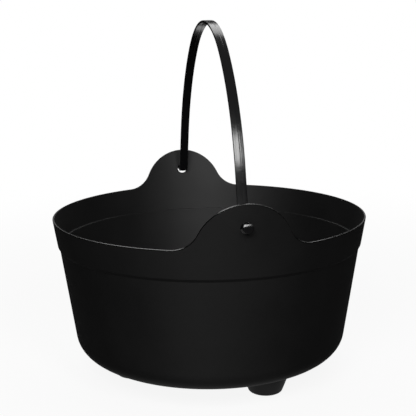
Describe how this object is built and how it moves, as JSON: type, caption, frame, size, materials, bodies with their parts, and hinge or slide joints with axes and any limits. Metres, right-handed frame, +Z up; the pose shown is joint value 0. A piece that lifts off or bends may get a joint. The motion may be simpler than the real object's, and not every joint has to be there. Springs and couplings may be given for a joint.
{
  "type": "cauldron",
  "caption": "Round thin-walled plastic cauldron with a stepped collar, upstanding ears, hollow stub feet and a strap bail that swings over the rim.",
  "frame": {"origin": "on the surface it stands on, under the middle of the pot", "axes": "+Z up out of the pot's mouth; +Y and -Y through the ears along the bail's hinge axis; one foot at -X, the other feet 60 degrees either side of +X"},
  "size_m": [0.2998, 0.32, 0.3417],
  "materials": {
    "pot_plastic": "satin black moulding",
    "bail_plastic": "gloss black moulding"
  },
  "bodies": {
    "pot": {"pot": "pot_plastic"},
    "bail": {"bail": "bail_plastic"}
  },
  "joints": [
    {"name": "bail_hinge", "type": "hinge", "parent": "pot", "child": "bail", "pos_m": [0, 0, 0.1795], "axis": [0, 1, 0], "range_deg": [-96, 96]}
  ]
}
